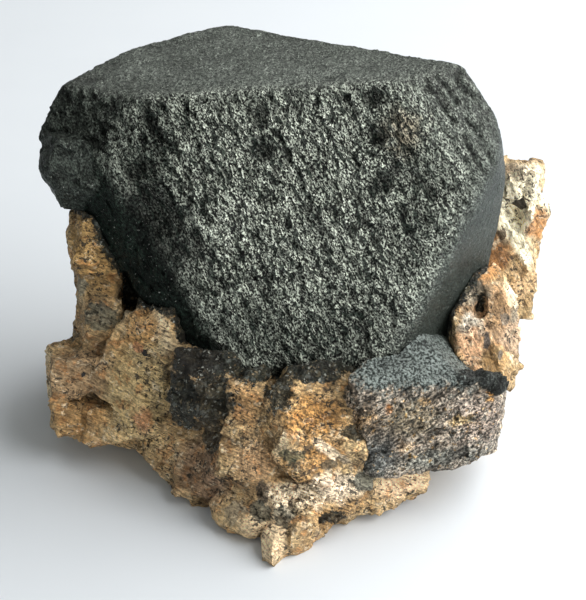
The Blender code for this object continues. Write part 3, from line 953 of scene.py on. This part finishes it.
# Zones of the feldspar: centre, radii, colour and strength, from the left to the right
ZONES = [
    ((-35.5, 5, 37), (7, 8, 12), (0.42, 0.26, 0.095), 0.85),
    ((-37.5, -4, 17.5), (9, 9, 8), (0.36, 0.24, 0.13), 0.9),
    ((-38.6, -5.9, 9.5), (7, 6, 5), (0.38, 0.22, 0.085), 0.8),
    ((-27, -8.5, 17), (9, 8, 14), (0.54, 0.4, 0.195), 0.9),
    ((-26, -4, 27), (5, 5, 4.5), (0.5, 0.28, 0.1), 0.8),
    ((-26.5, -11, 12), (2.4, 3, 3), (0.42, 0.17, 0.08), 0.7),
    ((-14, -19, 6.5), (9, 9, 8), (0.3, 0.19, 0.12), 0.85),
    ((-8.1, -20.5, 21), (4, 5, 5), (0.6, 0.36, 0.16), 0.9),
    ((-6.9, -25, 13.5), (4.5, 5, 6), (0.5, 0.32, 0.17), 0.8),
    ((3.5, -22.5, 20.5), (8, 6, 5.5), (0.47, 0.25, 0.08), 0.95),
    ((2.5, -26, 14.5), (7, 5, 4.5), (0.43, 0.235, 0.08), 0.85),
    ((6.5, -29, 9.6), (8.5, 5, 3.4), (1, 0.82, 0.6), 0.95),
    ((0, -29.5, 8.5), (6, 5, 4), (1, 0.82, 0.58), 0.95),
    ((-4.5, -33, 4), (6, 8, 5), (0.78, 0.6, 0.38), 0.85),
    ((18, -20, 6), (9, 6, 4), (0.9, 0.66, 0.42), 0.85),
    ((34, -4, 30), (9, 9, 8), (0.5, 0.32, 0.18), 0.9),
    ((33, -1, 37), (4, 5, 3), (0.6, 0.3, 0.11), 0.9),
    ((31.5, -2.8, 33.4), (3.8, 4, 3), (0.15, 0.14, 0.11), 0.85),
    ((30.8, -6.4, 29.2), (3, 4, 2.2), (0.9, 0.82, 0.68), 0.9),
    ((35.5, -4.5, 31), (3, 4, 4), (0.52, 0.32, 0.16), 0.8),
    ((39, -2, 33), (3.5, 4, 3.6), (0.92, 0.76, 0.54), 0.85),
    ((30.5, -9, 25.5), (3.5, 5, 5), (0.74, 0.44, 0.25), 0.85),
    ((38.5, -5, 25), (5, 5, 4.2), (0.82, 0.58, 0.39), 0.8),
    ((39.3, -3.3, 29), (2.5, 3, 2.2), (0.3, 0.3, 0.24), 0.6),
    ((40, 12, 43), (8, 9, 10), (1, 0.9, 0.66), 1),
    ((39, 13, 50), (5, 5, 2.4), (0.4, 0.3, 0.2), 0.8),
    ((36, 8, 35), (4.2, 5, 5.4), (0.26, 0.11, 0.03), 0.9),
    ((43.6, 11.5, 38.5), (2.6, 5, 3.8), (0.44, 0.2, 0.06), 0.9),
    ((40.5, 10, 29), (4, 6, 4), (0.72, 0.5, 0.28), 0.8),
]

# Black sparkling crust on the feldspar, and painted shade in deep gaps in it, drawn in the crust's colour:
# centre, radii and strength
CRUSTS_AND_GAP_SHADE = [
    ((-15, -13, 26), (9, 6, 4.8), 1),
    ((-19, -15, 18.5), (4.8, 6.5, 9), 1),
    ((-14, -17.5, 20.5), (6.5, 6, 6.5), 0.95),
    ((-14, -18, 14), (5.5, 6, 5), 0.85),
    ((-6.5, -15, 25.2), (6.5, 5, 3.8), 1),
    ((-2, -19.5, 22), (4.2, 5.5, 7.5), 0.95),
    ((4.5, -17.8, 27.5), (9.5, 4.8, 4.4), 1),
    ((10.3, -23.2, 17.6), (4.4, 3, 2.4), 0.9),
    ((12.5, -22, 22.5), (2.6, 3, 2.2), 0.8),
    ((6.5, -30, 4.5), (4, 3.5, 2), 0.9),
    # These two are painted shade in the deep gaps beside the left column
    ((-28.5, 3.5, 33.5), (2.8, 6, 5), 1),
    ((-29.2, 14, 24.5), (3.6, 5, 6.5), 1),
    ((32.4, -1, 30.6), (3.1, 3, 3.5), 1),
]

# Dark and grey spots on the feldspar: centre, radii, colour and strength
STAINS = [
    ((-38.5, 3.5, 30.5), (3.4, 4, 2.8), (0.24, 0.26, 0.21), 0.65),
    ((-34, 1.8, 25.5), (4.6, 4, 3.6), (0.1, 0.12, 0.095), 0.7),
    ((-37, -3, 17), (0.9, 2, 0.9), (0.02, 0.02, 0.02), 1),
    ((-25.8, -6.5, 23.2), (1, 2, 0.9), (0.01, 0.01, 0.01), 1),
    ((-27, -5.4, 23.6), (1.8, 2, 1.2), (0.33, 0.13, 0.06), 0.7),
    ((-21.5, -12, 22), (3.6, 5, 6), (0.05, 0.045, 0.032), 0.65),
    ((0.5, -27, 14.3), (2.4, 2.4, 1.8), (0.06, 0.058, 0.04), 0.8),
    ((6, -27, 13.8), (2.4, 2.4, 1.3), (0.06, 0.06, 0.045), 0.75),
    ((-5, -27.5, 8), (1.9, 2.6, 3.2), (0.08, 0.065, 0.05), 0.8),
    ((-1.5, -31.5, 6), (3.2, 3, 2.6), (0.16, 0.165, 0.13), 0.7),
    ((0, -26.5, 15.5), (3.4, 3, 2), (0.09, 0.095, 0.055), 0.8),
    ((-5.5, -29, 5.5), (3.2, 3.5, 2.4), (0.11, 0.12, 0.095), 0.75),
    ((-9, -24, 10.5), (1.6, 3, 3.4), (0.07, 0.05, 0.035), 0.8),
    ((37, -5, 29), (1.6, 2.5, 1.6), (0.16, 0.165, 0.15), 0.6),
    ((33.5, -8.5, 26.5), (0.9, 3, 2.2), (0.07, 0.075, 0.08), 0.8),
    ((35.6, -8, 24.2), (1, 3, 1.8), (0.07, 0.075, 0.08), 0.75),
    ((40, 11.8, 42.8), (1.8, 3, 1.6), (0.03, 0.022, 0.014), 0.95),
    ((37, 8.5, 37.5), (1.5, 4, 3), (0.045, 0.022, 0.01), 0.8),
    ((13, -27, 9.8), (5, 5, 2.6), (0.13, 0.145, 0.12), 0.85),
]

# Where black flecks are thick: centre and radii
FLECK_SPOTS = [
    ((-24.5, -8, 20.5), (4.5, 6, 6)),
    ((42, 12, 45.5), (3.5, 5, 6)),
    ((37.5, 8, 48), (3.5, 5, 3)),
    ((38.5, -4.5, 26.5), (3.5, 4, 5)),
    ((0.5, -27, 13.5), (6, 4, 4)),
    ((-4, -31, 5), (5, 5, 4)),
    ((6, -21.5, 22.5), (5.5, 4, 3.5)),
]

# Pale laths across the front block and down the right column: their ends, half width and colour
LATHS = [
    ((3.4, -26, 17.8), (9.6, -26.2, 13.4), 0.9, (0.76, 0.62, 0.44)),
    ((37, 10.5, 43.5), (42.3, 10, 31), 1.5, (1, 0.93, 0.7)),
]


def lath_patch(spot, start, end, half_width):
    """1 on a lath: an ellipsoid drawn out between its ends."""
    start, end = np.array(start), np.array(end)
    axes = axes_from(end - start, (0.3, 0, 1))
    moved = spot - ((start + end) / 2 * MM + STAND)
    half_length = np.linalg.norm(end - start) * 0.55 * MM
    return moved.along(axes, (half_length, half_width * MM, 0.0035)).length().ramp(1.1, 0.7)


def cleavage_grain(spot, steep):
    """Long thin streaks of noise along the cleavage, which turn with it at the right end."""
    woody = spot.along(CLEAVAGE_AXES, (0.0026, 0.0004, 0.0007)).noise(1, 4, 0.7)
    sliver = spot.along(STEEP_AXES, (0.0026, 0.00045, 0.0009)).noise(1, 4, 0.7)
    return woody + (sliver - woody) * steep


def crust_tint(spot, fuzzy, crystals):
    """Green-black with brown, grey and tan crumbs and painted glints, with painted shade under the crystal's
    left flank.
    """
    black = blend((0.003, 0.006, 0.004), (0.038, 0.05, 0.04), crystals.ramp(0.46, 0.62))
    black = blend(black, (0.15, 0.13, 0.08), fuzzy.noise(0.0013, 3, 0.7, 41).ramp(0.56, 0.63) * 0.8)
    black = blend(black, (0.15, 0.17, 0.155), fuzzy.noise(0.0016, 3, 0.7, 47).ramp(0.58, 0.63) * 0.8)
    black = blend(black, (0.5, 0.39, 0.24), spot.noise(0.0006, 2, 0.5, 51).ramp(0.63, 0.68) * 0.7)
    # Painted shade under the crystal's left flank
    black = darken(black, 1 - spot.near((-17.5, -12, 26), (7.5, 8, 6), 0.6) * 0.75)
    # Painted glints on the crust
    glints = fuzzy.cells(0.0009).ramp(0.34, 0.22) * spot.noise(0.0016, 3, 0.6, 19).ramp(0.5, 0.58)
    return blend(black, (0.52, 0.54, 0.48), glints)


def feldspar_tint(spot, fuzzy, crumbs, patches, steep):
    """Tan, cream and orange zones, with blotches, laths and stains."""
    ragged = ragged_place(spot, 0.0035, 0.003)
    tint = blend((0.34, 0.22, 0.105), (0.56, 0.4, 0.205), patches.ramp(0.35, 0.65))
    tint = blend(tint, (0.48, 0.27, 0.1), ragged.noise(0.01, 3, 0.5, 31).ramp(0.54, 0.66) * 0.6)
    tint = blend(tint, (0.8, 0.68, 0.46), ragged.noise(0.01, 3, 0.5, 37).ramp(0.56, 0.68) * 0.6)
    tint = blend(tint, (0.17, 0.16, 0.125), ragged.noise(0.008, 3, 0.5, 43).ramp(0.6, 0.68) * 0.6)
    for centre, radii, zone, strength in ZONES:
        tint = blend(tint, zone, ragged.near(centre, radii, 0.55) * strength)
    tint = blend(tint, (0.72, 0.6, 0.42), fuzzy.noise(0.0016, 3, 0.6, 3).ramp(0.56, 0.66) * 0.6)
    rust = fuzzy.noise(0.0024, 3, 0.6, 9).ramp(0.55, 0.66)
    tint = blend(tint, (0.42, 0.19, 0.06), rust * (0.6 - steep * 0.35))
    slim = ragged_place(spot, 0.0011, 0.0004)
    for start, end, half_width, pale in LATHS:
        tint = blend(tint, pale, lath_patch(slim, start, end, half_width) * 0.9)
    for centre, radii, stain, strength in STAINS:
        tint = blend(tint, stain, patch(spot, crumbs, centre, radii) * strength)
    return tint


def feldspar_looks():
    """Coloured zones under woody grain, black flecks, strokes, cracks, and dark crust at the crystals, which
    also serves as painted shade in the joints and deep gaps there, and painted shade in low places.
    """
    material, sockets, spot, rise, contact = new_material("feldspar", "rise", "contact")
    fuzzy = ragged_place(spot, 0.0011, 0.001)
    patches = spot.noise(0.005, 5, 0.6)
    crumbs = spot.noise(0.0011, 5, 0.7, 12)
    crystals = spot.noise(0.0005, 3, 0.7, 15)
    grit = spot.noise(0.0003, 4, 0.7)
    steep = spot.dot((1, 0, 0)).ramp(STEEP_FROM * MM, STEEP_TO * MM)
    grain = cleavage_grain(spot, steep)
    tint = feldspar_tint(spot, fuzzy, crumbs, patches, steep)
    tint = darken(tint, grain.ramp(0.3, 0.7, 0.57, 1.68))
    tint = darken(tint, crystals.ramp(0.3, 0.7, 0.7, 1.48))
    busy = spot.near((2, -24, 15), (17, 14, 15), 0.4) * patches.ramp(0.36, 0.6, 0.35, 1)
    tint = darken(tint, 1 + busy * crystals.ramp(0.38, 0.6, -0.42, 0.28))
    where = spot.noise(0.006, 2, 0.5, 6).ramp(0.42, 0.6)
    for centre, radii in FLECK_SPOTS:
        where = where.sum_with("MAXIMUM", spot.near(centre, radii, 0.7) * 1.4)
    flecks = spot.noise(0.0007, 3, 0.6, 4).ramp(0.57, 0.61) * where
    drawn = spot.along(CLEAVAGE_AXES, (0.002, 0.0003, 0.0009))
    strokes = drawn.noise(1, 3, 0.6, 8).ramp(0.6, 0.66)
    edge = fuzzy.cells(0.0075, "DISTANCE_TO_EDGE")
    cracks = edge.ramp(0.022, 0.006) * spot.noise(0.004, 2, 0.5, 8).ramp(0.55, 0.65)
    tint = blend(tint, (0.04, 0.036, 0.026), (flecks - 0.25).ramp(0, 0.4) * 0.9)
    tint = blend(tint, (0.1, 0.06, 0.035), strokes * (where * 0.5 + 0.4))
    tint = blend(tint, (0.06, 0.042, 0.028), cracks * 0.85)
    # Dark crust, which also stands for painted shade at the joints with the crystals and in deep gaps
    crust_and_shade = (contact + (crumbs - 0.5) * 1.5).ramp(0.48, 0.6)
    for centre, radii, strength in CRUSTS_AND_GAP_SHADE:
        crust_and_shade = crust_and_shade.sum_with("MAXIMUM", patch(spot, crumbs, centre, radii) * strength)
    tint = blend(tint, crust_tint(spot, fuzzy, crystals), crust_and_shade * 0.97)
    # Painted shade in low places, and a little painted light on high ones
    tint = darken(tint, rise.ramp(0, 0.6, 0.45, 1.1))
    height = grit * 0.5 + crystals * (crust_and_shade * 1.6 + 0.8) + grain - cracks * 0.8 - (flecks + strokes) * 0.5
    rough = grit.ramp(0.3, 0.7, 0.55, 0.9) - crust_and_shade * 0.3
    fill(sockets, {"Base Color": tint, "Roughness": rough, "Normal": bump(height, 0.0005)})
    return material


# Pieces, floor, light and camera

# Edges that turn by more than this many degrees stay sharp
SHARP_ANGLE = 38


def dress(name, shape, material, node):
    """A closed mesh in its place, with its vertex measures and its material, that stands for a solid."""
    spots, quads, measures = shape
    mesh = bpy.data.meshes.new(name)
    mesh.from_pydata(spots * MM + STAND, [], quads.tolist())
    mesh.shade_smooth()
    mesh.set_sharp_from_angle(angle=math.radians(SHARP_ANGLE))
    for label, values in measures.items():
        layer = mesh.attributes.new(label, "FLOAT", "POINT")
        layer.data.foreach_set("value", values.astype(np.float32))
    mesh.materials.append(material)
    piece = placed(name, mesh)
    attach(piece, "root")
    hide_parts(node)


# The floor's half width in metres, and its squares along each side
FLOOR_HALF = 3
FLOOR_SQUARES = 24


def make_floor():
    """A plain pale sheet under the specimen, in squares on a grid."""
    count = FLOOR_SQUARES + 1
    steps = np.linspace(-FLOOR_HALF, FLOOR_HALF, count)
    x, y = np.meshgrid(steps, steps, indexing="ij")
    spots = np.stack((x, y, 0 * x), axis=-1).reshape(-1, 3)
    corner = (np.arange(FLOOR_SQUARES)[:, None] * count + np.arange(FLOOR_SQUARES)).ravel()
    quads = np.stack((corner, corner + count, corner + count + 1, corner + 1), axis=1)
    mesh = bpy.data.meshes.new("floor")
    mesh.from_pydata(spots, [], quads.tolist())
    material, sockets, spot = new_material("pale_floor")
    pale = blend((0.7, 0.742, 0.79), (0.725, 0.767, 0.815), spot.noise(0.02, 2))
    fill(sockets, {"Base Color": pale, "Roughness": 0.7})
    mesh.materials.append(material)
    placed("floor", mesh)


LIGHT_AIM = Vector((0, 0, 0.03))


def softbox(name, azimuth, elevation, far, size, power, tint):
    """An area light at an azimuth and elevation in degrees and a distance, facing the specimen."""
    data = bpy.data.lights.new(name, "AREA")
    data.shape = "RECTANGLE"
    data.size, data.size_y = size
    data.energy = power
    data.color = tint
    light = placed(name, data)
    light.location = direction(azimuth, elevation) * far
    light.rotation_euler = (light.location - LIGHT_AIM).to_track_quat("Z", "Y").to_euler()


def make_light():
    """A large window at the right, above and a little behind, a weak fill in front, and a dim pale room."""
    softbox("window", 93, 40, 0.52, (1, 0.65), 8.3, (1, 0.99, 0.97))
    softbox("front_fill", 10, 20, 1, (0.8, 0.6), 1.5, (1, 1, 0.95))
    world = bpy.data.worlds.new("room")
    world.use_nodes = True
    room = world.node_tree.nodes["Background"]
    room.inputs["Color"].default_value = (0.97, 1, 0.97, 1)
    room.inputs["Strength"].default_value = 0.25
    bpy.context.scene.world = world
    bpy.context.scene.view_settings.view_transform = "Standard"


# The camera's target and distance in metres, its height in degrees and its lens in millimetres
CAMERA_AIM = Vector((-0.00045, -0.0019, 0.03))
CAMERA_FAR = 0.4
CAMERA_RISE = 30
CAMERA_LENS = 137.1


def make_camera():
    """A camera in front and above, at the photograph's distance and angle."""
    data = bpy.data.cameras.new("camera")
    data.lens = CAMERA_LENS
    camera = placed("camera", data)
    towards = Vector(direction(0, CAMERA_RISE))
    camera.location = CAMERA_AIM + towards * CAMERA_FAR
    camera.rotation_euler = towards.to_track_quat("Z", "Y").to_euler()
    bpy.context.scene.camera = camera


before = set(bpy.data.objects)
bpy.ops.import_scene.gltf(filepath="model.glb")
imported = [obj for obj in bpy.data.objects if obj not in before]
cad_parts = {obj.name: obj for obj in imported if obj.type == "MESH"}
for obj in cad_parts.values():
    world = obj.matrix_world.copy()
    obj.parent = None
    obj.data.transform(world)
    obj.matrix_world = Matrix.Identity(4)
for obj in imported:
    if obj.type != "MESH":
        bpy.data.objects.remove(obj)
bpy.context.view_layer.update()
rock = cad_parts["feldspar_matrix"]
dress("large_crystal", large_crystal(), magnetite_looks(), "magnetite_crystal")
dress("side_crystal", side_crystal(), break_looks(), "broken_side_crystal")
dress("feldspar", feldspar_matrix(rock), feldspar_looks(), "feldspar_matrix")
make_floor()
make_light()
make_camera()
bpy.context.view_layer.update()
